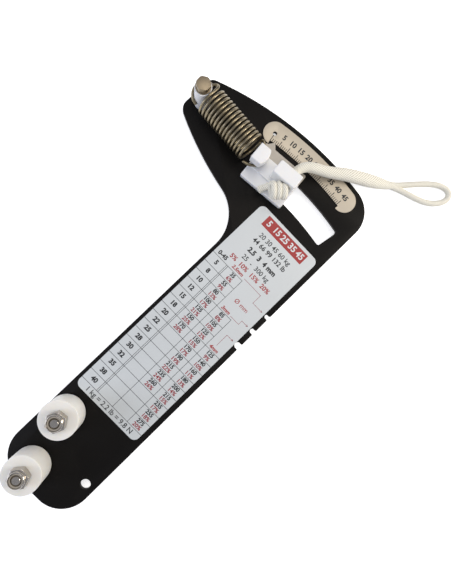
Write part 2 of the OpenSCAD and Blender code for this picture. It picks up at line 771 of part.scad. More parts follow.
module slider_screws() {
    seat_z = -back_stand + screw_d / 2;
    color("#b0aca4")
        at_slider()
            screw_places() {
                translate([0, 0, seat_z - screw_d / 2 + screw_recess])
                    cylinder(d = 2 * screw_d, h = screw_d / 2 - screw_recess);
                translate([0, 0, seat_z - overlap])
                    cylinder(d = screw_d, h = flange_z + screw_grip + overlap - seat_z);
            }
}

// Spring: an open loop round the post, then the coil
function coil_point(deg) = lift(coil_from + coil_dir * (coil_start + coil_pitch * (deg - 90) / 360)
    + coil_side * coil_r * cos(deg), coil_z + coil_r * sin(deg));
function loop_point(deg) = lift(post_at + loop_r * [cos(deg), sin(deg)],
    coil_z + loop_rise - loop_fall * (deg - loop_from_deg) / 360);
function coil_path() = [for (i = [0 : coil_steps]) coil_point(coil_first_deg + 45 * i)];
function spring_path() = let (start = coil_point(coil_first_deg)) concat(
    [for (deg = [loop_to_deg : -loop_step_deg : loop_from_deg]) loop_point(deg)],
    [for (p = loop_lead) start + p],
    coil_path());

module tension_spring() {
    path = spring_path();
    color("#7a7264")
        tube(path, [for (p = path) wire_d / 2], 6);
}

// Hook: from the coil's end round the slider's neck to an open front end
function hook_z(deg) = neck_z + hook_front_up + hook_rise * (sin(deg) + 1) / 2;
function hook_point(deg) = lift(hook_c + hook_r * [cos(deg), sin(deg)], hook_z(deg));
function hook_path() = let (back = coil_point(coil_first_deg + 45 * coil_steps),
    leave = unit(back - coil_point(coil_first_deg + 45 * (coil_steps - 1))),
    begin = back + leave * hook_joint_gap, front = hook_point(hook_to_deg)) concat(
    [begin, begin + leave * hook_run], [for (p = hook_lead) begin + p],
    [for (deg = [hook_from_deg : -hook_step_deg : hook_to_deg]) hook_point(deg)],
    [for (p = hook_tail) front + p]);

module spring_hook() {
    path = hook_path();
    color("#756d60")
        tube(path, [for (p = path) wire_d / 2], 8);
}

// Lanyard: the stretch in the hole follows the hole, the rest follows the route
cord_in = slider_point(cord_hole_u, rail_r - rail_w / 2 + block_setback + 0.3);
cord_out = slider_point(cord_hole_u, rail_r + rail_w / 2);
cord_path = concat([lift(cord_in, cord_hole_z), lift(cord_out, cord_hole_z)],
    [for (p = cord_route) [p.x, p.y, p.z]]);
cord_radii = concat([2.9, 2.9], [for (p = cord_route) p[3]]);

module lanyard_cord() {
    color("#f3f0e0") tube(cord_path, cord_radii, cord_sides);
}

// Stopper knot against the block's front face
module lanyard_knot() {
    lobe = knot_r - knot_lobe_r;
    color("#f4f1e3")
        at_slider()
            translate([cord_hole_u, rail_r - rail_w / 2 + block_setback, cord_hole_z])
                rotate([90, 0, 0])
                    rotate_extrude() {
                        translate([lobe, knot_lobe_r]) circle(knot_lobe_r);
                        translate([lobe - knot_taper, 3 * knot_lobe_r - knot_sink]) circle(knot_lobe_r);
                        square([lobe - knot_taper, 4 * knot_lobe_r - knot_sink]);
                    }
}

module lanyard_tail() {
    color("#f3f0e0")
        tube([for (p = tail_route) [p.x, p.y, p.z]], [for (p = tail_route) p[3]], 8);
}

frame_plate();
chart_label();
scale_plate();
spring_post();
post_washer();
post_sleeve();
post_nut();
upper_roller_bolt();
lower_roller_bolt();
upper_base_washer();
lower_base_washer();
upper_roller_bush();
lower_roller_bush();
upper_roller();
lower_roller();
upper_lock_nut();
lower_lock_nut();
upper_nut_insert();
lower_nut_insert();
slider_block();
slider_back_plate();
slider_screws();
tension_spring();
spring_hook();
lanyard_cord();
lanyard_knot();
lanyard_tail();
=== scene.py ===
import math

import bmesh
import bpy
from mathutils import Matrix, Vector


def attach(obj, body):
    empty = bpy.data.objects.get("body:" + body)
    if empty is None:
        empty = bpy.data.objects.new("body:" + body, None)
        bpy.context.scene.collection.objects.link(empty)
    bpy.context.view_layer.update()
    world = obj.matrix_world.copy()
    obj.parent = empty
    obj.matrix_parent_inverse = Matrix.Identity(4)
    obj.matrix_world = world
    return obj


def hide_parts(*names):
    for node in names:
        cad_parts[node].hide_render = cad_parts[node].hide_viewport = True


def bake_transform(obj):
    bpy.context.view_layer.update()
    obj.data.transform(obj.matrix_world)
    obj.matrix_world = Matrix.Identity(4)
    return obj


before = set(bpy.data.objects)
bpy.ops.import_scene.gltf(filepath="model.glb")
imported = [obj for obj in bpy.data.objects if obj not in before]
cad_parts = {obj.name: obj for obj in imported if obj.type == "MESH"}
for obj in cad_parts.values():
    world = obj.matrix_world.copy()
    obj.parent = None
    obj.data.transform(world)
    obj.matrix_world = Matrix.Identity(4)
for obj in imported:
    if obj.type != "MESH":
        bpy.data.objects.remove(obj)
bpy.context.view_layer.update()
mm = 0.001
print("frame loaded,", len(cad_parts), "nodes")

# Camera: looks down on the gauge, which lies on its back
cameraSetup = {
    "place": (-36.97, 124.73, 296.19),        # mm
    "right": (0.692458, 0.716537, 0.084115),  # picture's right in the part's frame
    "ahead": (0.039264, 0.078989, -0.996102),
    "lens": 27.81,
    "sensor": 36.0,
    "clip": (0.01, 20),                       # metres
}
bpy.ops.object.camera_add()
eye = bpy.context.object
eye.name = "studioCamera"
eyeRight, eyeAhead = Vector(cameraSetup["right"]), Vector(cameraSetup["ahead"])
eye.matrix_world = (Matrix.Translation(Vector(cameraSetup["place"]) * mm)
                    @ Matrix((eyeRight, eyeRight.cross(eyeAhead), -eyeAhead)).transposed().to_4x4())
eye.data.lens = cameraSetup["lens"]
eye.data.sensor_width = cameraSetup["sensor"]
eye.data.clip_start, eye.data.clip_end = cameraSetup["clip"]
bpy.context.scene.camera = eye


# Small helpers for selecting and finishing
def clearSelection():
    if bpy.context.object and bpy.context.object.mode != "OBJECT":
        bpy.ops.object.mode_set(mode="OBJECT")
    bpy.ops.object.select_all(action="DESELECT")


def takeUp(piece):
    clearSelection()
    piece.select_set(True)
    bpy.context.view_layer.objects.active = piece


def editPiece(piece, kind="FACE"):
    takeUp(piece)
    bpy.ops.object.mode_set(mode="EDIT")
    bpy.ops.mesh.select_mode(type=kind)
    bpy.ops.mesh.select_all(action="DESELECT")


def pickFaces(piece, test):  # test gets a face's middle in mm and its normal
    mesh = bmesh.from_edit_mesh(piece.data)
    for face in mesh.faces:
        face.select_set(bool(test(face.calc_center_median() / mm, face.normal)))
    bmesh.update_edit_mesh(piece.data)


def pickEdges(piece, test):  # test gets an edge's middle in mm, its run, and its fold in degrees, below 0 in a hollow
    mesh = bmesh.from_edit_mesh(piece.data)
    mesh.normal_update()
    for edge in mesh.edges:
        ends = [v.co / mm for v in edge.verts]
        fold = math.degrees(edge.calc_face_angle_signed(0.0))
        edge.select_set(bool(test((ends[0] + ends[1]) / 2, ends[1] - ends[0], fold)))
    bmesh.update_edit_mesh(piece.data)


squareFold, smoothFold = 60, 35  # degrees: an edge that folds by more is a square corner, by less is shaded smooth


def softenEdges(piece, width, segments, test):  # rounds the edges that the test picks
    editPiece(piece, "EDGE")
    pickEdges(piece, test)
    bpy.ops.mesh.bevel(offset=width * mm, segments=segments, profile=0.5, clamp_overlap=True)
    bpy.ops.object.mode_set(mode="OBJECT")


def softenSharp(piece, width, segments, sharpDeg):  # rounds every edge that folds by more than sharpDeg
    takeUp(piece)
    added = piece.modifiers.new("edges", "BEVEL")
    added.width, added.segments = width * mm, segments
    added.limit_method, added.angle_limit = "ANGLE", math.radians(sharpDeg)
    bpy.ops.object.modifier_apply(modifier=added.name)


def smoothOver(piece):
    takeUp(piece)
    bpy.ops.object.shade_smooth_by_angle(angle=math.radians(smoothFold))


def settle(piece):  # puts the place, turn and size into the mesh
    takeUp(piece)
    bpy.ops.object.transform_apply(location=True, rotation=True, scale=True)


def joinAll(pieces, name):
    clearSelection()
    for piece in pieces:
        piece.select_set(True)
    bpy.context.view_layer.objects.active = pieces[0]
    if len(pieces) > 1:
        bpy.ops.object.join()
    pieces[0].name = name
    settle(pieces[0])
    return pieces[0]


cadClean = {"merge": 0.002, "flatDeg": 0.6}  # mm and degrees, to bring a CAD mesh's triangles back to whole faces


def copyOfNode(name, node):  # a merged copy of a CAD node, to be softened
    piece = bpy.data.objects.new(name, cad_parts[node].data.copy())
    bpy.context.scene.collection.objects.link(piece)
    editPiece(piece)
    bpy.ops.mesh.select_all(action="SELECT")
    bpy.ops.mesh.remove_doubles(threshold=cadClean["merge"] * mm)
    bpy.ops.mesh.dissolve_limited(angle_limit=math.radians(cadClean["flatDeg"]))
    bpy.ops.object.mode_set(mode="OBJECT")
    return piece


def putOn(piece, body, slot, material, *nodes):
    piece.data.materials.clear()
    piece.data.materials.append(material)
    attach(piece, body)
    if nodes:
        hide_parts(*nodes)


# The axis of the spring's post, and the slider's own directions at rest: along the slot, outwards from the arc's
# centre, and up
postSpot = (-125.8, 223.2)
sliderPlace = {"centre": (-35.8, 23.1), "restDeg": -6.6}
restTurn = math.radians(sliderPlace["restDeg"])
restCos, restSin = math.cos(restTurn), math.sin(restTurn)


def fromSlider(u, r, z):
    x, y = sliderPlace["centre"]
    return Vector((x + u * restCos + r * restSin, y - u * restSin + r * restCos, z))


def toSlider(spot):
    x, y = spot[0] - sliderPlace["centre"][0], spot[1] - sliderPlace["centre"][1]
    return x * restCos - y * restSin, x * restSin + y * restCos


# Materials
def colourOf(hexText):  # sRGB hex to linear
    parts = [int(hexText[i:i + 2], 16) / 255 for i in (1, 3, 5)]
    return tuple(c / 12.92 if c <= 0.04045 else ((c + 0.055) / 1.055) ** 2.4 for c in parts) + (1.0,)


def addNode(tree, kind, settings=None, links=None):
    node = tree.nodes.new(kind)
    for key, value in (settings or {}).items():
        if isinstance(key, str) and hasattr(node, key):
            setattr(node, key, value)
        else:
            node.inputs[key].default_value = value
    for key, output in (links or {}).items():
        tree.links.new(output, node.inputs[key])
    return node


def per(sizeMm):  # texture scale for a pattern of that size
    return 1 / (sizeMm * mm)


grainDepth = 0.25  # a grain's depth as a share of its size


def newSurface(name, look):  # mottled colour, uneven gloss and a fine grain, from one dictionary
    material = bpy.data.materials.new(name)
    material.use_nodes = True
    tree = material.node_tree
    shader = tree.nodes["Principled BSDF"]
    place = addNode(tree, "ShaderNodeTexCoord").outputs["Object"]
    if "stretch" in look:
        place = addNode(tree, "ShaderNodeMapping", {"Scale": look["stretch"], "Rotation": look["turn"]},
                        {"Vector": place}).outputs["Vector"]
    patches = addNode(tree, "ShaderNodeTexNoise", {"Scale": per(look["patch"]), "Detail": 4.0, "Roughness": 0.6},
                      {"Vector": place})
    tint = addNode(tree, "ShaderNodeMix",
                   {"data_type": "RGBA", 6: colourOf(look["colour"]), 7: colourOf(look["shade"])},
                   {0: patches.outputs["Fac"]})
    grain = addNode(tree, "ShaderNodeTexNoise", {"Scale": per(look["grain"]), "Detail": 3.0}, {"Vector": place})
    gloss = addNode(tree, "ShaderNodeMapRange",
                    {"From Min": 0.3, "From Max": 0.7, "To Min": look["rough"][0], "To Max": look["rough"][1]},
                    {"Value": grain.outputs["Fac"]})
    bump = addNode(tree, "ShaderNodeBump", {"Strength": look["bump"], "Distance": look["grain"] * mm * grainDepth},
                   {"Height": grain.outputs["Fac"]})
    tree.links.new(tint.outputs[2], shader.inputs["Base Color"])
    tree.links.new(gloss.outputs["Result"], shader.inputs["Roughness"])
    tree.links.new(bump.outputs["Normal"], shader.inputs["Normal"])
    shader.inputs["Metallic"].default_value = look.get("metal", 0.0)
    if "ior" in look:
        shader.inputs["IOR"].default_value = look["ior"]
    if "glow" in look:  # light that soaks into a milky plastic, red the deepest
        shader.inputs["Subsurface Weight"].default_value = look["glow"]
        shader.inputs["Subsurface Radius"].default_value = (1.0, 0.9, 0.75)
        shader.inputs["Subsurface Scale"].default_value = look["glowDepth"] * mm
    return {"material": material, "tree": tree, "shader": shader, "tint": tint, "bump": bump, "place": place}


def overlayColour(made, factor, hexText):  # lays another colour over the tint where factor is 1
    over = addNode(made["tree"], "ShaderNodeMix", {"data_type": "RGBA", 7: colourOf(hexText)},
                   {0: factor, 6: made["tint"].outputs[2]})
    made["tree"].links.new(over.outputs[2], made["shader"].inputs["Base Color"])
    made["tint"] = over


# Anodised aluminium, dyed black and sealed: a soft even sheen over a fine etched grain, greyer in patches along its
# side edges
blackLook = {"colour": "#0f0d0b", "shade": "#151311", "patch": 14, "grain": 0.5, "rough": (0.46, 0.6), "bump": 0.12}
black = newSurface("anodisedAluminiumBlack", blackLook)
rimGrey = {"patch": 3.5, "from": 0.48, "to": 0.75, "colour": "#4a4641"}
rimPart = addNode(black["tree"], "ShaderNodeAttribute", {"attribute_name": "rim"}).outputs["Fac"]
rimPatches = addNode(black["tree"], "ShaderNodeTexNoise", {"Scale": per(rimGrey["patch"]), "Detail": 5.0},
                 {"Vector": black["place"]})
rimPatchesHere = addNode(black["tree"], "ShaderNodeMapRange", {"From Min": rimGrey["from"], "From Max": rimGrey["to"]},
                     {"Value": rimPatches.outputs["Fac"]})
rimGreyShare = addNode(black["tree"], "ShaderNodeMath", {"operation": "MULTIPLY", "use_clamp": True},
               {0: rimPart, 1: rimPatchesHere.outputs["Result"]})
overlayColour(black, rimGreyShare.outputs["Value"], rimGrey["colour"])
black["shader"].inputs["Specular IOR Level"].default_value = 0.12

# Vinyl label film, printed and matt-laminated: white with a faint orange-peel sheen
filmLook = {"colour": "#d6dbdc", "shade": "#cfd3d3", "patch": 35, "grain": 1.2, "rough": (0.5, 0.62), "bump": 0.05}
film = newSurface("vinylLabelFilm", filmLook)
# Screen-printing inks: flat colour, thin enough that the edge of each stroke is a little uneven in tone
inkLook = {"colour": "#141617", "shade": "#26292c", "patch": 0.8, "grain": 0.3, "rough": (0.45, 0.6), "bump": 0.05}
blackInk = newSurface("screenInkBlack", inkLook)
redInk = newSurface("screenInkRed", dict(inkLook, colour="#a02f2e", shade="#aa3b38"))
guideInk = newSurface("screenInkDarkRed", dict(inkLook, colour="#8e3038", shade="#9a3d42"))
ruleInk = newSurface("screenInkGrey", dict(inkLook, colour="#3c4042", shade="#4a4e50"))
whiteInk = newSurface("screenInkWhite", dict(inkLook, colour="#e3e6e6", shade="#d9dcdc"))
# Aluminium scale strip, satin-rolled under a clear lacquer: warm pale grey with fine lengthwise lines
scaleLook = {"colour": "#ccc2b0", "shade": "#c2b7a3", "patch": 9, "grain": 0.35, "rough": (0.36, 0.5), "bump": 0.1,
             "stretch": (0.12, 1.0, 1.0), "turn": (0, 0, math.radians(-3)), "metal": 0.25}
scaleMetal = newSurface("satinAluminiumLacquered", scaleLook)
# Zinc-plated steel, barrel-finished: dull warm metal with small handling marks
platedLook = {"colour": "#998c77", "shade": "#827662", "patch": 3, "grain": 0.4, "rough": (0.36, 0.5), "bump": 0.1,
              "metal": 1.0}
plated = newSurface("zincPlatedSteel", platedLook)
# Stainless steel, cold-formed and tumbled: brighter, with soft reflections
brightLook = {"colour": "#c4beb6", "shade": "#aba59b", "patch": 2.5, "grain": 0.3, "rough": (0.16, 0.3), "bump": 0.08,
              "metal": 1.0}
bright = newSurface("stainlessSteelTumbled", brightLook)
# Sintered bronze, machined: matt golden brown with open pores
bronzeLook = {"colour": "#a98552", "shade": "#8c6c40", "patch": 2, "grain": 0.3, "rough": (0.4, 0.55), "bump": 0.15,
              "metal": 1.0}
bronze = newSurface("sinteredBronze", bronzeLook)
# Acetal, moulded: milky white with a soft waxy gloss
acetalLook = {"colour": "#f3f3f1", "shade": "#eceded", "patch": 12, "grain": 0.8, "rough": (0.34, 0.48), "bump": 0.04,
              "ior": 1.48, "glow": 0.25, "glowDepth": 1.2}
acetal = newSurface("acetalMoulded", acetalLook)
# The slider's acetal, with painted shade: a grey tint on the low strip behind its rail, beside the boss and block
stripShadedAcetal = newSurface("acetalMouldedPaintedShade", acetalLook)
stripShade = {"colour": "#a39886", "from": 207.1, "to": 207.7, "top": 8.2, "share": 0.75}  # mm from the arc's centre, mm up
stripShadeTree = stripShadedAcetal["tree"]
fromCentre = addNode(stripShadeTree, "ShaderNodeMapping",
                     {"Location": [-x * mm for x in sliderPlace["centre"]] + [0.0], "Scale": (1.0, 1.0, 0.0)},
                     {"Vector": stripShadedAcetal["place"]})
outwards = addNode(stripShadeTree, "ShaderNodeVectorMath", {"operation": "LENGTH"}, {0: fromCentre.outputs["Vector"]})
outside = addNode(stripShadeTree, "ShaderNodeMapRange",
                  {"From Min": stripShade["from"] * mm, "From Max": stripShade["to"] * mm, "To Max": stripShade["share"]},
                  {"Value": outwards.outputs["Value"]})
upwards = addNode(stripShadeTree, "ShaderNodeSeparateXYZ", {}, {"Vector": stripShadedAcetal["place"]})
below = addNode(stripShadeTree, "ShaderNodeMath", {"operation": "LESS_THAN", 1: stripShade["top"] * mm},
                {0: upwards.outputs["Z"]})
stripShadeShare = addNode(stripShadeTree, "ShaderNodeMath", {"operation": "MULTIPLY"},
                  {0: outside.outputs["Result"], 1: below.outputs["Value"]})
# lays the painted shade, a grey tint, over the low strip
overlayColour(stripShadedAcetal, stripShadeShare.outputs["Value"], stripShade["colour"])
# Acetal, turned from rod: warmer, with faint tool rings (spaced wider than real feed lines, to show)
turnedLook = dict(acetalLook, colour="#faf7f0", shade="#f4f1e8", rough=(0.36, 0.5), glow=0.4, glowDepth=2.0)
turned = newSurface("acetalTurned", turnedLook)
toolMarks = {"spacing": 0.35, "strength": 0.18, "depth": 0.08}  # spacing and depth in mm
toolPath = addNode(turned["tree"], "ShaderNodeAttribute", {"attribute_name": "toolPath"}).outputs["Fac"]
toolRings = addNode(turned["tree"], "ShaderNodeTexNoise",
                    {"noise_dimensions": "1D", "Scale": 1 / toolMarks["spacing"], "Detail": 2.0}, {"W": toolPath})
ringBump = addNode(turned["tree"], "ShaderNodeBump",
                   {"Strength": toolMarks["strength"], "Distance": toolMarks["depth"] * mm},
                   {"Height": toolRings.outputs["Fac"], "Normal": turned["bump"].outputs["Normal"]})
turned["tree"].links.new(ringBump.outputs["Normal"], turned["shader"].inputs["Normal"])
# Nylon ring, moulded: greyish brown, smooth
nylonLook = {"colour": "#aca496", "shade": "#9a9284", "patch": 2, "grain": 0.5, "rough": (0.4, 0.55), "bump": 0.05}
nylon = newSurface("nylonMoulded", nylonLook)
# Spring steel, drawn wire: dark bronze-grey with streaks along the wire
wireLook = {"colour": "#a0957c", "shade": "#807661", "patch": 4, "grain": 0.4, "rough": (0.28, 0.42), "bump": 0.06,
            "metal": 1.0}
wireSteel = newSurface("springSteelDrawn", wireLook)
drawMarks = {"scale": (14.0, 0.05, 1.0), "from": 0.45, "to": 0.75, "share": 0.35, "colour": "#544c3e"}
wireUv = addNode(wireSteel["tree"], "ShaderNodeUVMap", {"uv_map": "wrap"}).outputs["UV"]
drawLines = addNode(wireSteel["tree"], "ShaderNodeMapping", {"Scale": drawMarks["scale"]}, {"Vector": wireUv})
streaks = addNode(wireSteel["tree"], "ShaderNodeTexNoise", {"Scale": 1.0, "Detail": 3.0},
                  {"Vector": drawLines.outputs["Vector"]})
dark = addNode(wireSteel["tree"], "ShaderNodeMapRange",
               {"From Min": drawMarks["from"], "From Max": drawMarks["to"], "To Max": drawMarks["share"]},
               {"Value": streaks.outputs["Fac"]})
overlayColour(wireSteel, dark.outputs["Result"], drawMarks["colour"])
# Braided polyester cord: off-white, soft sheen, with painted shade between the strands (fibres drawn coarser than real,
# to show)
cordLook = {"colour": "#fcf9ee", "shade": "#f5f2e3", "patch": 6, "grain": 0.25, "rough": (0.7, 0.85), "bump": 0.3,
            "gap": "#958e6c", "sheen": 0.25, "sheenRough": 0.4}
cordFibre = newSurface("polyesterBraid", cordLook)
# the darker colour in the hollows between the ribs is painted shade
creviceShade = addNode(cordFibre["tree"], "ShaderNodeAttribute", {"attribute_name": "creviceShade"}).outputs["Fac"]
overlayColour(cordFibre, creviceShade, cordLook["gap"])
cordFibre["shader"].inputs["Sheen Weight"].default_value = cordLook["sheen"]
cordFibre["shader"].inputs["Sheen Roughness"].default_value = cordLook["sheenRough"]
print("materials made")


# Tubes for the cord and the spring wire
def smoothRoute(points, step):  # a smooth line through [x, y, z, radius] in mm, with points about step apart
    pts = [Vector(p) for p in points]
    pts = [pts[0] * 2 - pts[1]] + pts + [pts[-1] * 2 - pts[-2]]
    line = []
    for a, b, c, d in zip(pts, pts[1:], pts[2:], pts[3:]):
        count = max(1, round((c - b).length / step))
        for k in range(count):
            t = k / count
            line.append(0.5 * (2 * b + (c - a) * t + (2 * a - 5 * b + 4 * c - d) * t * t
                               + (3 * b - a - 3 * c + d) * t ** 3))
    return line + [pts[-2]]


domeDegs = (25, 50, 72, 86)  # where the rings of a rounded end lie on its dome


def roundEnds(line, depth):  # closes both ends with a dome of that share of the radius
    def dome(end, before):
        out = (end.to_3d() - before.to_3d()).normalized()
        return [Vector((*(end.to_3d() + out * depth * end.w * math.sin(a)), end.w * math.cos(a)))
                for a in map(math.radians, domeDegs)]
    return dome(line[0], line[1])[::-1] + line + dome(line[-1], line[-2])


# The braid's ribs: a wave and levels as shares of a rib's height, the gap levels setting where the hollows get painted
# shade, and the radii in mm between which ribs fade at an end
ribForm = {"wave": 0.1, "level": 0.85, "gapBelow": 0.75, "gapSpan": 0.5, "leastRadius": 0.5, "fullRadius": 1.5}


# also gives each point's share of the painted shade in the hollows between ribs
def braidHeight(angle, phase, braid):  # ribs that wind one way, with a slight wave from the strands beneath
    turn = braid["carriers"] * angle / (2 * math.pi)
    u, v = turn + phase, turn - phase
    height = math.sqrt(max(0.0, 1 - (2 * (u % 1) - 1) ** 2)) + ribForm["wave"] * math.cos(2 * math.pi * v)
    gap = (ribForm["gapBelow"] - height) / ribForm["gapSpan"]
    return braid["depth"] * (height - ribForm["level"]), min(1.0, max(0.0, gap))


def tubeAlong(name, line, sides, braid=None):
    verts, creviceShades, faces, uvs = [], [], [], []
    side = Vector((0.0, 0.0, 1.0))
    along, phase = 0.0, 0.0
    marks = []
    for k, ring in enumerate(line):
        ahead = (line[min(k + 1, len(line) - 1)] - line[max(k - 1, 0)]).to_3d().normalized()
        side = (side - ahead * side.dot(ahead)).normalized()
        across = ahead.cross(side)
        if k:
            step = (ring.to_3d() - line[k - 1].to_3d()).length
            along += step
            if braid:
                girth = 2 * math.pi * max(ring.w, ribForm["leastRadius"])
                phase += step / (girth / braid["carriers"] * braid["slope"])
        marks.append(along)
        for i in range(sides):
            angle = 2 * math.pi * i / sides
            rise, low = braidHeight(angle, phase, braid) if braid else (0.0, 0.0)
            reach = ring.w + rise * min(1.0, ring.w / ribForm["fullRadius"])
            verts.append((ring.to_3d() + (side * math.cos(angle) + across * math.sin(angle)) * reach) * mm)
            creviceShades.append(low)
    for k in range(len(line) - 1):
        for i in range(sides):
            j = (i + 1) % sides
            faces.append((k * sides + i, k * sides + j, (k + 1) * sides + j, (k + 1) * sides + i))
            uvs += [(i / sides, marks[k]), ((i + 1) / sides, marks[k]),
                    ((i + 1) / sides, marks[k + 1]), (i / sides, marks[k + 1])]
    faces += [tuple(range(sides))[::-1], tuple(range((len(line) - 1) * sides, len(line) * sides))]
    uvs += [(0.0, 0.0)] * (2 * sides)
    mesh = bpy.data.meshes.new(name)
    mesh.from_pydata(verts, [], faces)
    wrap = mesh.uv_layers.new(name="wrap")
    wrap.data.foreach_set("uv", [x for uv in uvs for x in uv])
    # each point's share of the painted shade between the ribs
    mesh.attributes.new("creviceShade", "FLOAT", "POINT").data.foreach_set("value", creviceShades)
    mesh.shade_smooth()
    piece = bpy.data.objects.new(name, mesh)
    bpy.context.scene.collection.objects.link(piece)
    editPiece(piece)
    bpy.ops.mesh.select_all(action="SELECT")
    bpy.ops.mesh.normals_make_consistent(inside=False)
    bpy.ops.object.mode_set(mode="OBJECT")
    return piece


def tubeFor(name, route, form):  # a closed tube along a route, by the form's own step, dome, sides and braid
    return tubeAlong(name, roundEnds(smoothRoute(route, form["step"]), form["dome"]), form["sides"], form.get("braid"))


# Lanyard: a cord with a spliced eye, thick where its end is tucked into itself
lanyard = {
    "route": [  # x, y, z and radius in mm, from inside the slider's hole to the splice
        (-48.44, 221.06, 16.2, 2.9), (-49.49, 230.2, 16.2, 2.9), (-49.8, 232.4, 16.2, 2.9), (-49.6, 234.8, 16.1, 3.0),
        (-48.6, 237.7, 15.9, 3.15), (-46.6, 240.6, 15.4, 3.3), (-42.6, 244.0, 14.6, 3.4), (-37.8, 247.5, 13.0, 3.5),
        (-33.2, 251.6, 11.3, 3.8), (-28.8, 256.0, 9.7, 4.1), (-24.0, 260.2, 8.4, 4.3), (-18.7, 264.6, 6.2, 4.4),
        (-12.6, 269.6, 3.6, 4.4), (-6.4, 274.8, 0.8, 3.9), (-1.0, 279.3, -0.9, 2.9), (3.0, 283.6, -1.6, 2.1),
        (7.1, 288.5, -1.9, 2.0), (12.0, 294.5, -1.9, 2.0), (16.9, 300.1, -1.9, 2.0), (21.2, 304.3, -1.9, 2.0),
        (25.7, 307.4, -1.9, 2.0), (30.3, 308.7, -1.9, 2.0), (33.7, 307.7, -1.9, 2.0), (35.2, 304.6, -1.9, 2.0),
        (34.5, 300.6, -1.9, 2.0), (32.4, 297.0, -1.9, 2.0), (29.4, 293.7, -1.9, 2.0), (25.2, 290.7, -1.9, 2.0),
        (20.1, 288.3, -1.9, 2.0), (14.6, 286.3, -1.9, 2.0), (9.6, 284.5, -1.9, 2.0), (5.6, 282.6, -1.7, 1.95),
        (1.6, 280.2, -1.2, 1.6), (-2.3, 277.2, -0.4, 1.4)],
    "exit": (-49.49, 230.2, 16.2),
    "length": 0.182,      # metres, all of it in view but for what is inside the slider
    "diameter": 0.005,    # between the thick stem and the thin eye
    "braid": {"carriers": 14, "slope": 0.95, "depth": 0.4},
    "step": 0.26, "sides": 112, "dome": 0.6,
}
lanyardCord = tubeFor("lanyardCord", lanyard["route"], lanyard)
putOn(lanyardCord, "slider", "cord_braid", cordFibre["material"], "lanyard_cord")

tailEnd = {
    "route": [(-51.6, 216.4, 15.0, 1.9), (-53.2, 216.0, 14.6, 1.95), (-54.4, 215.3, 13.8, 2.0),
              (-55.7, 213.9, 12.4, 2.0), (-56.9, 212.1, 11.0, 2.05), (-57.8, 210.2, 10.1, 2.1),
              (-58.3, 208.4, 9.8, 2.25)],
    "braid": {"carriers": 9, "slope": 1.4, "depth": 0.35},
    "step": 0.3, "sides": 72, "dome": 0.35,
}
lanyardTail = tubeFor("lanyardTail", tailEnd["route"], tailEnd)
putOn(lanyardTail, "slider", "cord_braid", cordFibre["material"], "lanyard_tail")

stopperKnot = {  # three wraps pulled tight against the front of the block, in the slider's directions
    "leadIn": [(10.2, 200.5, 16.2), (10.2, 198.8, 16.2)], "middle": (8.92, 192.86, 16.3),
    "along": (0.77, 0.638), "down": (0.638, -0.77), "pitch": 3.5, "slant": 0.7, "turns": 3.0,
    "firstShift": 1.25, "lastShift": 2.35, "reach": 4.25, "rise": 3.7, "nearest": 196.05, "cord": 1.85, "points": 60,
    "braid": {"carriers": 9, "slope": 1.4, "depth": 0.35},
    "step": 0.3, "sides": 72, "dome": 0.6,
}


def knotRoute(k):
    route = [(*fromSlider(*spot), k["cord"]) for spot in k["leadIn"]]
    for n in range(k["points"] + 1):
        t = k["turns"] * n / k["points"]
        turn = math.radians(180 - 360 * t)
        shift = k["pitch"] * (k["firstShift"] - min(t, k["lastShift"])) + k["slant"] * math.cos(turn)
        flat = Vector(k["middle"][:2]) + Vector(k["along"]) * shift + Vector(k["down"]) * k["reach"] * math.cos(turn)
        height = k["middle"][2] + k["rise"] * math.sin(turn)
        route.append((*fromSlider(flat.x, min(flat.y, k["nearest"]), height), k["cord"]))
    return route


lanyardKnot = tubeFor("lanyardKnot", knotRoute(stopperKnot), stopperKnot)
putOn(lanyardKnot, "slider", "cord_braid", cordFibre["material"], "lanyard_knot")

# Extension spring: open loop round the post, coil, and a hook round the slider's neck
springShape = {
    "wire": 0.92, "coilRadius": 9.25, "coilZ": 15.2, "pitch": 2.683, "start": 6.3,
    "firstDeg": 67.5, "stepDeg": 45, "steps": 118, "from": (-125.8, 223.9), "to": (-74.365, 221.785),
    "loopRadius": (6.4, 6.7), "loopDegs": (75, 275, 20), "loopRise": 5, "loopFall": 16.5,
    "loopLead": [(-3.4, 3.9, -3.2), (-1.4, 4.3, -2.0), (-0.3, 2.4, -0.6)],
    "hookAt": (-74.365, 222.485), "hookRadius": 5.85, "hookZ": 11.4, "hookRise": 2.2, "hookGap": 0.2, "hookRun": 0.8,
    "hookLead": [(0.9, 0.7, 1.9), (2.2, 0.3, 2.4)], "hookDegs": (80, 21.5, 7), "hookTailDeg": -50,
    "hookTail": [(-1.5, -1.7, -0.1), (-3.2, -3.0, -0.2), (-5.3, -4.0, -0.2), (-8.0, -4.7, -0.2)],
    "stretches": ((-118.6, 224.0, 15.2), (-80.6, 222.0, 15.2)),  # the two ends of the part that opens
    "step": 0.55, "sides": 18, "dome": 0.3,
}


def coilPoint(deg):
    s = springShape
    run = (Vector(s["to"]) - Vector(s["from"])).normalized()
    flat = (Vector(s["from"]) + run * (s["start"] + s["pitch"] * (deg - 90) / 360)
            + Vector((-run.y, run.x)) * s["coilRadius"] * math.cos(math.radians(deg)))
    return Vector((flat.x, flat.y, s["coilZ"] + s["coilRadius"] * math.sin(math.radians(deg))))


def ringPoint(middle, radius, deg, z):
    turn = math.radians(deg)
    return Vector((middle[0] + radius * math.cos(turn), middle[1] + radius * math.sin(turn), z))


def loopPoint(deg):
    (small, large), (first, last, _) = springShape["loopRadius"], springShape["loopDegs"]
    return ringPoint(postSpot, large - (large - small) * (deg - first) / (last - first), deg,
                     springShape["coilZ"] + springShape["loopRise"] - springShape["loopFall"] * (deg - first) / 360)


def hookPoint(deg):
    rise = springShape["hookRise"] * (math.sin(math.radians(deg)) + 1) / 2
    return ringPoint(springShape["hookAt"], springShape["hookRadius"], deg, springShape["hookZ"] + rise)


def wireAlong(name, points):
    return tubeFor(name, [(*p, springShape["wire"]) for p in points], springShape)


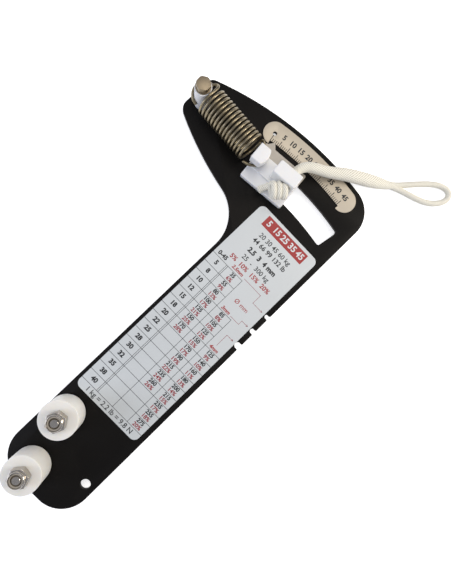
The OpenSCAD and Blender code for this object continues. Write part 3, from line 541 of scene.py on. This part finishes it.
loopFirst, loopLast, loopStep = springShape["loopDegs"]
firstDeg, halfStep = springShape["firstDeg"], springShape["stepDeg"] / 2
lastDeg = firstDeg + springShape["stepDeg"] * springShape["steps"]
tensionSpring = wireAlong("tensionSpring", (
    [loopPoint(deg) for deg in range(loopLast, loopFirst - 1, -loopStep)]
    + [coilPoint(firstDeg) + Vector(p) for p in springShape["loopLead"]]
    + [coilPoint(firstDeg + halfStep * i) for i in range(2 * springShape["steps"] + 1)]))
leaving = (coilPoint(lastDeg) - coilPoint(lastDeg - springShape["stepDeg"])).normalized()
hookBegin = coilPoint(lastDeg) + leaving * springShape["hookGap"]
hookFirst, hookStep, hookCount = springShape["hookDegs"]
springHook = wireAlong("springHook", (
    [hookBegin, hookBegin + leaving * springShape["hookRun"]]
    + [hookBegin + Vector(p) for p in springShape["hookLead"]]
    + [hookPoint(hookFirst - hookStep * i) for i in range(hookCount)]
    + [hookPoint(springShape["hookTailDeg"]) + Vector(p) for p in springShape["hookTail"]]))
putOn(springHook, "hook", "spring_steel", wireSteel["material"], "spring_hook")
tensionSpring.data.materials.append(wireSteel["material"])
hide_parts("tension_spring")
coilBegin, coilEnd = [Vector(spot) * mm for spot in springShape["stretches"]]
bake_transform(tensionSpring)
# For each ring of the tube, one share of the hook's motion, from where the ring's middle lies between the ends of the
# part that opens; all points of one ring take the same share, so the wire would stay as thick. The shares are not used
# further here.
ringShares = []
for k in range(0, len(tensionSpring.data.vertices), springShape["sides"]):
    ring = tensionSpring.data.vertices[k:k + springShape["sides"]]
    middle = sum((v.co for v in ring), Vector()) / len(ring)
    share = (middle - coilBegin).dot(coilEnd - coilBegin) / (coilEnd - coilBegin).length_squared
    ringShares += [min(1.0, max(0.0, share))] * len(ring)
print("spring made")

# Plate: the CAD outline with its sharp edges broken, marked as rim between its faces for the grey patches
plateSoft = {"edge": 0.18, "segments": 2, "sharpDeg": 40, "rim": (0.06, 3.14)}
plate = copyOfNode("plate", "frame_plate")
softenSharp(plate, plateSoft["edge"], plateSoft["segments"], plateSoft["sharpDeg"])
rimLow, rimHigh = plateSoft["rim"]
rimValues = [1.0 if rimLow * mm < v.co.z < rimHigh * mm else 0.0 for v in plate.data.vertices]
plate.data.attributes.new("rim", "FLOAT", "POINT").data.foreach_set("value", rimValues)
smoothOver(plate)
putOn(plate, "frame", "black_plate", black["material"], "frame_plate")
print("plate made")

# Hard pieces whose CAD form is right: merged, edges softened by the width given in mm, smoothed
softForm = {"segments": 3, "sharpDeg": 40}
softened = [
    ("scaleStrip", "scale_plate", "frame", "scale_aluminium", scaleMetal, 0.12),
    ("chartFilm", "chart_label", "frame", "label_film", film, 0.06),
    ("postNut", "post_nut", "frame", "plated_steel", plated, 0.25),
    ("upperWasher", "upper_base_washer", "frame", "plated_steel", plated, 0.2),
    ("lowerWasher", "lower_base_washer", "frame", "plated_steel", plated, 0.2),
    ("upperBush", "upper_roller_bush", "frame", "bush_bronze", bronze, 0.2),
    ("lowerBush", "lower_roller_bush", "frame", "bush_bronze", bronze, 0.2),
    ("upperNut", "upper_lock_nut", "frame", "bright_steel", bright, 0.2),
    ("lowerNut", "lower_lock_nut", "frame", "bright_steel", bright, 0.2),
    ("upperNutRing", "upper_nut_insert", "frame", "nut_nylon", nylon, 0.3),
    ("lowerNutRing", "lower_nut_insert", "frame", "nut_nylon", nylon, 0.3),
    ("sliderBackPlate", "slider_back_plate", "slider", "white_plastic", acetal, 0.5),
    ("sliderScrews", "slider_screws", "slider", "bright_steel", bright, 0.15),
]
for name, node, body, slot, made, width in softened:
    piece = copyOfNode(name, node)
    softenSharp(piece, width, softForm["segments"], softForm["sharpDeg"])
    smoothOver(piece)
    putOn(piece, body, slot, made["material"], node)
print("hard pieces softened")

# Slider: block and hook post well rounded, thinner edges less, the pointer left sharp
sliderSoft = {
    "top": 1.0, "topFrom": 14.5, "topFold": 40,                        # mm, mm up, degrees
    "hole": 0.5, "holeAt": (10.2, 16.2), "holeNear": 4.0,
    "rail": 0.4, "railAt": (9.6, 9.8),                                 # between these heights
    "flange": 0.5, "flangeAt": (7.3, 7.5), "flangeWithin": 195,        # and nearer the arc's centre than this
}
slider = copyOfNode("sliderBlock", "slider_block")


def nearHole(spot):
    return math.dist((toSlider(spot)[0], spot.z), sliderSoft["holeAt"]) < sliderSoft["holeNear"]


def onTop(spot, run, fold):
    return fold > sliderSoft["topFold"] and spot.z > sliderSoft["topFrom"] and not nearHole(spot)


def atHole(spot, run, fold):
    return fold > squareFold and nearHole(spot)


def onRail(spot, run, fold):
    return fold > squareFold and sliderSoft["railAt"][0] < spot.z < sliderSoft["railAt"][1]


def onFlange(spot, run, fold):
    low, high = sliderSoft["flangeAt"]
    return fold > squareFold and low < spot.z < high and toSlider(spot)[1] < sliderSoft["flangeWithin"]


softenEdges(slider, sliderSoft["top"], 5, onTop)
softenEdges(slider, sliderSoft["hole"], 3, atHole)
softenEdges(slider, sliderSoft["rail"], 3, onRail)
softenEdges(slider, sliderSoft["flange"], 3, onFlange)
smoothOver(slider)
putOn(slider, "slider", "white_plastic", stripShadedAcetal["material"], "slider_block")

# Roller bolts: the end inside the nut has a wide chamfer
boltSoft = {"end": 0.9, "endFrom": 30.5, "other": 0.25, "otherSharpDeg": 50}
for name, node in (("upperBolt", "upper_roller_bolt"), ("lowerBolt", "lower_roller_bolt")):
    bolt = copyOfNode(name, node)
    softenEdges(bolt, boltSoft["end"], 1, lambda spot, run, fold: fold > squareFold and spot.z > boltSoft["endFrom"])
    softenSharp(bolt, boltSoft["other"], 2, boltSoft["otherSharpDeg"])
    smoothOver(bolt)
    putOn(bolt, "frame", "plated_steel", bright["material"], node)

# Spring post: a flat hexagonal head on a plain shank
postForm = {"flats": 8.7, "turnDeg": 5.0, "low": 25.2, "high": 29.2, "corner": 1.4, "brim": 0.25, "brimFrom": 29.1,
            "shank": 2.5, "shankSides": 48, "shankTop": 25.7, "shankEnd": -4.0, "endEdge": 0.4}


def postCylinder(sides, radius, low, high, turnDeg=0.0):
    bpy.ops.mesh.primitive_cylinder_add(
        vertices=sides, radius=radius * mm, depth=(high - low) * mm,
        location=Vector((*postSpot, (high + low) / 2)) * mm, rotation=(0, 0, math.radians(turnDeg)))
    settle(bpy.context.object)
    return bpy.context.object


postHead = postCylinder(6, postForm["flats"] / 2 / math.cos(math.radians(30)), postForm["low"], postForm["high"],
                        postForm["turnDeg"])
softenEdges(postHead, postForm["corner"], 4, lambda spot, run, fold: abs(run.z) > run.to_2d().length)
softenEdges(postHead, postForm["brim"], 3,
            lambda spot, run, fold: fold > squareFold and spot.z > postForm["brimFrom"])
postShank = postCylinder(postForm["shankSides"], postForm["shank"], postForm["shankEnd"], postForm["shankTop"])
softenEdges(postShank, postForm["endEdge"], 2, lambda spot, run, fold: fold > squareFold and spot.z < 0)
postBolt = joinAll([postHead, postShank], "postBolt")
smoothOver(postBolt)
putOn(postBolt, "frame", "plated_steel", plated["material"], "spring_post")
print("slider, bolts and post made")

# Rollers, sleeve and washer: rings turned from rod, with round rims and a bore
rollerForm = ((4.45, 23.45), (11.85, 11.85), 4.81, 0.35)
rings = [  # name, node, body, slot, material, middle, then low and high, radius below and above, bore, rim
    ("upperRoller", "upper_roller", "roller_upper", "roller_plastic", turned, (-40.6, 23.1), *rollerForm),
    ("lowerRoller", "lower_roller", "roller_lower", "roller_plastic", turned, (-32.3, -13.6), *rollerForm),
    ("postSleeve", "post_sleeve", "frame", "white_plastic", acetal, postSpot, (3.2, 24.2), (5.3, 5.5), 2.56, 0.3),
    ("postWasher", "post_washer", "frame", "plated_steel", plated, postSpot, (24.2, 25.2), (5.0, 5.0), 2.56, 0.25),
]
ringForm = {"sides": 128, "rimSegments": 6, "boreRim": 0.25, "boreSegments": 3,
            "flat": 0.9, "near": 0.01}  # how far up or down a flat face looks, and mm


def turnRing(name, at, levels, radii, bore, rim):
    bpy.ops.mesh.primitive_cone_add(
        vertices=ringForm["sides"], radius1=radii[0] * mm, radius2=radii[1] * mm, depth=(levels[1] - levels[0]) * mm,
        location=Vector((*at, sum(levels) / 2)) * mm)
    piece = bpy.context.object
    piece.name = name
    settle(piece)
    editPiece(piece)

    def away(spot):
        return (spot.to_2d() - Vector(at)).length

    def isFlat(normal):
        return abs(normal.z) > ringForm["flat"]
    for level, radius in zip(levels, radii):
        pickFaces(piece, lambda spot, normal: isFlat(normal) and abs(spot.z - level) < ringForm["near"])
        bpy.ops.mesh.inset(thickness=(radius - bore) * mm)
    pickFaces(piece, lambda spot, normal: isFlat(normal) and away(spot) < ringForm["near"])
    bpy.ops.mesh.bridge_edge_loops()
    bpy.ops.object.mode_set(mode="OBJECT")
    middle = (bore + radii[0]) / 2
    softenEdges(piece, rim, ringForm["rimSegments"],
                lambda spot, run, fold: fold > squareFold and away(spot) > middle)
    softenEdges(piece, ringForm["boreRim"], ringForm["boreSegments"],
                lambda spot, run, fold: fold > squareFold and away(spot) < middle)
    paths = [away(v.co / mm) + v.co.z / mm for v in piece.data.vertices]
    piece.data.attributes.new("toolPath", "FLOAT", "POINT").data.foreach_set("value", paths)
    smoothOver(piece)
    return piece


for name, node, body, slot, made, *form in rings:
    putOn(turnRing(name, *form), body, slot, made["material"], node)
print("rings turned")


# Print on the label and the scale: strokes and plain numbers, a few hundredths of a millimetre thick
ink = {"thick": 0.03, "merge": 0.0005, "digitShare": 0.73, "curveSteps": 3}  # a digit's height in the font's size


def stroke(start, end, width, z):
    a, b = Vector(start), Vector(end)
    run = b - a
    bpy.ops.mesh.primitive_cube_add(
        size=1, location=(*((a + b) / 2 * mm), z * mm), rotation=(0, 0, math.atan2(run.y, run.x)),
        scale=((run.length + width) * mm, width * mm, ink["thick"] * mm))
    return bpy.context.object


def figures(text, at, height, z, turn=0.0, weight=0.0, lean=0.0):  # drawn in mm, then brought down to size
    bpy.ops.object.text_add()
    made = bpy.context.object
    made.data.body = text
    made.data.align_x, made.data.align_y = "CENTER", "CENTER"
    made.data.size = height / ink["digitShare"]
    made.data.extrude = ink["thick"] / 2
    made.data.offset = weight
    made.data.shear = lean
    made.data.resolution_u = ink["curveSteps"]
    bpy.ops.object.convert(target="MESH")
    made = bpy.context.object
    made.location, made.rotation_euler, made.scale = (at[0] * mm, at[1] * mm, z * mm), (0, 0, turn), (mm, mm, mm)
    return made


def layInk(name, pieces, made, slot):
    piece = joinAll(pieces, name)
    editPiece(piece)
    bpy.ops.mesh.select_all(action="SELECT")
    bpy.ops.mesh.remove_doubles(threshold=ink["merge"] * mm)
    bpy.ops.object.mode_set(mode="OBJECT")
    putOn(piece, "frame", slot, made["material"])


chart = {
    "left": -50.2, "right": 2.6, "top": 160.6, "row": 7.68, "rows": 15, "z": 3.455, "lineWidth": 0.3,
    "lines": [(-37.7, 0), (-36.6, 0), (-23.3, 0), (-10.0, 3)],  # place, first row
    "reach": [(3, -23.3), (6, -10.0)],                          # rules above that row end there, others at the right
    "columns": [(-30.1, 0, 7), (-16.6, 3, 12), (-3.6, 6, 15)],  # middle, first row, end row
    "readingX": -43.6, "readingFirst": 5, "readingStep": 2.5, "readingHeight": 3.2, "readingWeight": 0.2,
    "figure": 2.75, "loadUp": 1.75, "loadWeight": 0.14, "shareDown": 1.65, "shareWeight": 0.11,
}
# The chart's numbers are made up: loads rise with the reading and fall from column to column
loadRule = {"unit": 5, "factor": 1.1, "power": 1.15, "fall": 0.14, "shareFirst": 6, "shareStep": 4}


def onLabel(text, at, height, weight, lean=0.0):
    return figures(text, at, height, chart["z"], weight=weight, lean=lean)


def labelStroke(start, end, width):
    return stroke(start, end, width, chart["z"])


def readingIn(row):
    return chart["readingFirst"] + chart["readingStep"] * row


clearSelection()
rowY = [chart["top"] - chart["row"] * k for k in range(chart["rows"] + 1)]
rules = [labelStroke((x, rowY[first]), (x, rowY[-1]), chart["lineWidth"]) for x, first in chart["lines"]]
for k, y in enumerate(rowY):
    reachX = next((x for row, x in chart["reach"] if k < row), chart["right"])
    rules.append(labelStroke((chart["left"], y), (reachX, y), chart["lineWidth"]))
layInk("chartRules", rules, ruleInk, "label_film")

readings = [onLabel(f"{round(readingIn(k))}", (chart["readingX"], y - chart["row"] / 2), chart["readingHeight"],
                    chart["readingWeight"]) for k, y in enumerate(rowY[:-1])]
layInk("chartReadings", readings, blackInk, "label_film")
loads, shares = [], []
for column, (x, first, end) in enumerate(chart["columns"]):
    for k in range(first, end):
        y = rowY[k] - chart["row"] / 2
        units = loadRule["factor"] * readingIn(k) ** loadRule["power"] * (1 - loadRule["fall"] * column)
        load = loadRule["unit"] * round(units)
        share = round(load / (loadRule["shareFirst"] + loadRule["shareStep"] * column))
        loads.append(onLabel(f"{load}", (x, y + chart["loadUp"]), chart["figure"], chart["loadWeight"]))
        shares.append(onLabel(f"{share}%", (x, y - chart["shareDown"]), chart["figure"], chart["shareWeight"]))
layInk("chartLoads", loads, blackInk, "label_film")
layInk("chartShares", shares, guideInk, "label_film")

# Red guides from the notch sizes to the notches
guides = {
    "sizes": [("2.5mm", (-30.2, 163.2)), ("3mm", (-17.2, 139.6)), ("4mm", (-4.6, 116.6))],
    "sizeForm": (2.5, 0.12, 0.2),                     # height, weight, lean
    "symbol": ("Ø mm", (-12.0, 148.8), 3.2, 0.02),    # text, place, height, weight
    "paths": [[(-23.1, 162.6), (-7.9, 162.6), (-7.9, 155.6), (0.6, 155.6)],
              [(-12.1, 139.1), (-4.6, 139.1), (-4.6, 142.3), (0.6, 142.3)],
              [(-4.8, 119.6), (-4.8, 128.9), (0.6, 128.9)]],
    "width": 0.24, "barbs": [(-1.1, 0.6), (-1.1, -0.6)],
}
marks = [onLabel(text, at, *guides["sizeForm"]) for text, at in guides["sizes"]] + [onLabel(*guides["symbol"])]
layInk("chartSizes", marks, redInk, "label_film")
pointers = []
for path in guides["paths"]:
    pointers += [labelStroke(a, b, guides["width"]) for a, b in zip(path, path[1:])]
    tip = Vector(path[-1])
    pointers += [labelStroke(tip, tip + Vector(barb), guides["width"]) for barb in guides["barbs"]]
layInk("chartGuides", pointers, guideInk, "label_film")

# Heading: a bar with plain numbers, and rows of plain numbers with units
heading = {
    "bar": ((-37.6, 199.8), (-8.6, 199.8), 8.0), "middle": -23.2,
    "barNumbers": [("5", -2), ("15", -1), ("25", 0), ("35", 1), ("45", 2)],  # text, place in the row
    "numberGap": 7.2, "numberHeight": 4.4, "numberWeight": 0.15,
    "redRow": ("5%  10%  15%  20%", 167.4, 3.3, 0.1),                        # text, place, height, weight
    "rows": [("20 30 45 60 kg", 190.6, 3.4, 0.05), ("44 66 99 132 lb", 185.4, 3.4, 0.1),
             ("2.5  3  4 mm", 178.6, 3.5, 0.22), ("25  -  300 kg", 172.6, 3.4, 0.05),
             ("1 kg = 2.2 lb = 9.8 N", 42.4, 3.5, 0.05)],
    "readingHead": ("0-45", (-44.0, 163.2), 3.0, 0.16),
}


def headingRow(text, y, height, weight):
    return onLabel(text, (heading["middle"], y), height, weight)


layInk("headingRed", [labelStroke(*heading["bar"]), headingRow(*heading["redRow"])], redInk, "label_film")
rows = [headingRow(*row) for row in heading["rows"]] + [onLabel(*heading["readingHead"])]
layInk("headingRows", rows, blackInk, "label_film")
barNumbers = [figures(text, (heading["middle"] + heading["numberGap"] * place, heading["bar"][0][1]),
                      heading["numberHeight"], chart["z"] + ink["thick"], weight=heading["numberWeight"])
              for text, place in heading["barNumbers"]]
layInk("headingNumbers", barNumbers, whiteInk, "label_film")
print("label printed")

# Scale: a tick for each unit, longer at each five, and plain numbers
scaleMarks = {
    "zeroDeg": -10.892, "unitDeg": 0.35556, "top": 45, "every": 5, "z": 3.805,
    "ticksFrom": 219.95, "longTick": (3.6, 0.5), "shortTick": (1.9, 0.42), "zeroLine": (218.2, 223.8),  # length, width
    "numbersAt": 226.9, "numberHeight": 3.55, "numberWeight": 0.18,
}


def onArc(deg, radius):
    x, y = sliderPlace["centre"]
    return x + radius * math.sin(math.radians(deg)), y + radius * math.cos(math.radians(deg))


ticks, numbers = [], []
for unit in range(scaleMarks["top"] + 1):
    deg = scaleMarks["zeroDeg"] + scaleMarks["unitDeg"] * unit
    longOne = unit % scaleMarks["every"] == 0
    length, width = scaleMarks["longTick" if longOne else "shortTick"]
    low, high = (scaleMarks["ticksFrom"], scaleMarks["ticksFrom"] + length) if unit else scaleMarks["zeroLine"]
    ticks.append(stroke(onArc(deg, low), onArc(deg, high), width, scaleMarks["z"]))
    if longOne and unit:
        numbers.append(figures(f"{unit}", onArc(deg, scaleMarks["numbersAt"]), scaleMarks["numberHeight"],
                               scaleMarks["z"], turn=-math.radians(deg), weight=scaleMarks["numberWeight"]))
layInk("scaleTicks", ticks, blackInk, "scale_aluminium")
layInk("scaleNumbers", numbers, blackInk, "scale_aluminium")
print("scale printed")

# Studio: pale floor, soft lamps, white beyond
studio = {"floorAt": (0, 0.12), "floorZ": -4.05, "floorSize": 4.0, "paper": "#f2f2f2", "paperRough": 0.9,
          "paperLift": 0.68, "sky": "#eceffb", "skyStrength": 0.47}
bpy.ops.mesh.primitive_plane_add(size=studio["floorSize"], location=(*studio["floorAt"], studio["floorZ"] * mm))
floor = bpy.context.object
floor.name = "floor"
paper = bpy.data.materials.new("matWhitePaper")
paper.use_nodes = True
paperTree = paper.node_tree
paperShader = paperTree.nodes["Principled BSDF"]
paperShader.inputs["Base Color"].default_value = colourOf(studio["paper"])
paperShader.inputs["Roughness"].default_value = studio["paperRough"]
paperShader.inputs["Specular IOR Level"].default_value = 0.0
rays = addNode(paperTree, "ShaderNodeLightPath")
seen = addNode(paperTree, "ShaderNodeMath", {"operation": "MAXIMUM"},
               {0: rays.outputs["Is Camera Ray"], 1: rays.outputs["Is Glossy Ray"]})
seenOr = addNode(paperTree, "ShaderNodeMath", {"operation": "MAXIMUM"},
                 {0: seen.outputs["Value"], 1: rays.outputs["Is Transmission Ray"]})
lift = addNode(paperTree, "ShaderNodeMath", {"operation": "MULTIPLY", 1: studio["paperLift"]},
               {0: seenOr.outputs["Value"]})
paperShader.inputs["Emission Color"].default_value = (1, 1, 1, 1)
paperTree.links.new(lift.outputs["Value"], paperShader.inputs["Emission Strength"])
floor.data.materials.append(paper)

sky = bpy.data.worlds.new("studioSky")
bpy.context.scene.world = sky
sky.use_nodes = True
skyTree = sky.node_tree
skyLight = skyTree.nodes["Background"]
skyRays = addNode(skyTree, "ShaderNodeLightPath")
skyTint = addNode(skyTree, "ShaderNodeMix", {"data_type": "RGBA", 6: colourOf(studio["sky"]), 7: colourOf("#ffffff")},
                  {0: skyRays.outputs["Is Camera Ray"]})
skyTree.links.new(skyTint.outputs[2], skyLight.inputs["Color"])
skyLevel = addNode(skyTree, "ShaderNodeMapRange", {"To Min": studio["skyStrength"], "To Max": 1.0},
                   {"Value": skyRays.outputs["Is Camera Ray"]})
skyTree.links.new(skyLevel.outputs["Result"], skyLight.inputs["Strength"])

lamps = [  # name, place and aim in metres, size, watts, colour
    ("warmKey", (0.45, 0.62, 0.36), (-0.04, 0.12, 0.0), 0.25, 3.0, "#fff6e8"),
    ("topSheen", (-0.16, 0.4, 0.7), (-0.08, 0.2, 0.0), 0.4, 1.45, "#fff8ee"),
    ("coolSide", (-0.55, -0.5, 0.4), (-0.06, 0.18, 0.0), 0.4, 2.5, "#e6ecff"),
]
for name, spot, aim, size, watts, tone in lamps:
    bpy.ops.object.light_add(type="AREA", location=spot)
    lamp = bpy.context.object
    lamp.name = name
    lamp.rotation_euler = (Vector(aim) - Vector(spot)).to_track_quat("-Z", "Y").to_euler()
    lamp.data.size = size
    lamp.data.energy = watts
    lamp.data.color = colourOf(tone)[:3]
bpy.context.scene.view_settings.view_transform = "Standard"
print("studio lit")

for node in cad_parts.values():
    if not node.hide_render:
        print("CAD node still showing:", node.name)
